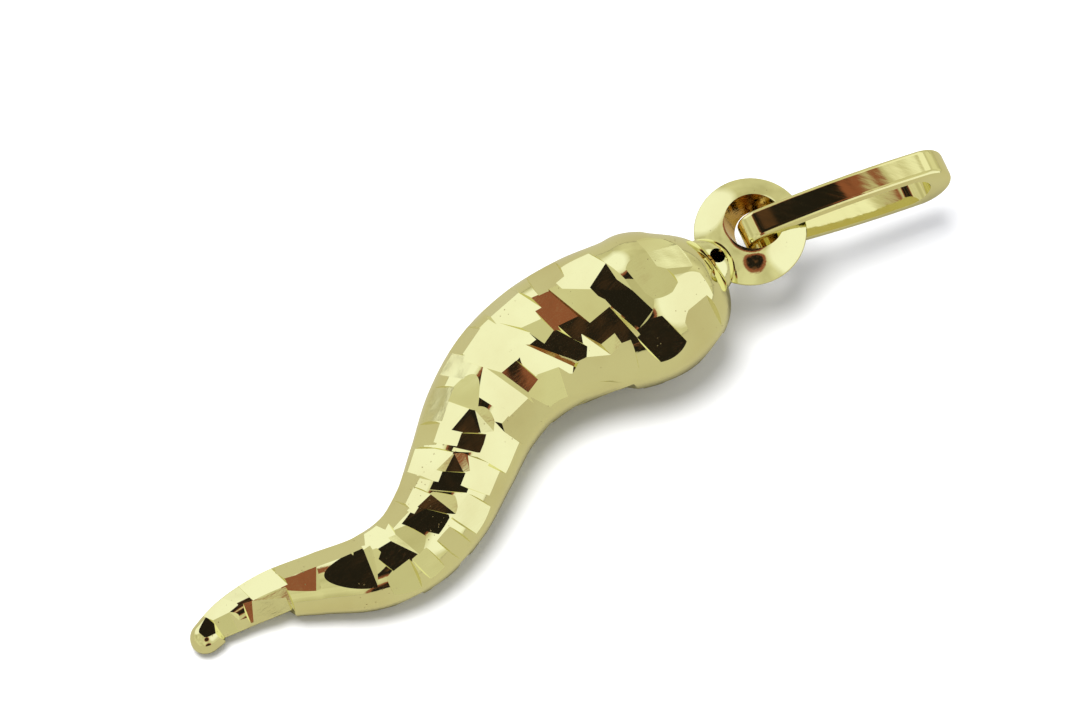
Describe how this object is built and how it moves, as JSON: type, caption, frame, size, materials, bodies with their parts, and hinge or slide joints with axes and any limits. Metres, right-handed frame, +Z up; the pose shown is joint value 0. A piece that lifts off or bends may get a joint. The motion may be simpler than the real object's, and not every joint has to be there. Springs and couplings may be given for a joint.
{
  "type": "gold horn pendant with bail",
  "caption": "Hollow diamond-cut horn pendant in polished gold: a twisted tapering horn with a soldered loop and a loose flat-band bail.",
  "frame": {"origin": "middle of the bottom of the box round the pendant, where it lies flat", "axes": "+X along the horn from its tip to the loop and the bail, +Z up from the surface that it lies on"},
  "size_m": [0.029, 0.0066, 0.0053],
  "materials": {
    "gold": "polished yellow gold with bright diamond cuts"
  },
  "bodies": {
    "root": {"horn": "gold", "bail": "gold"}
  },
  "joints": []
}
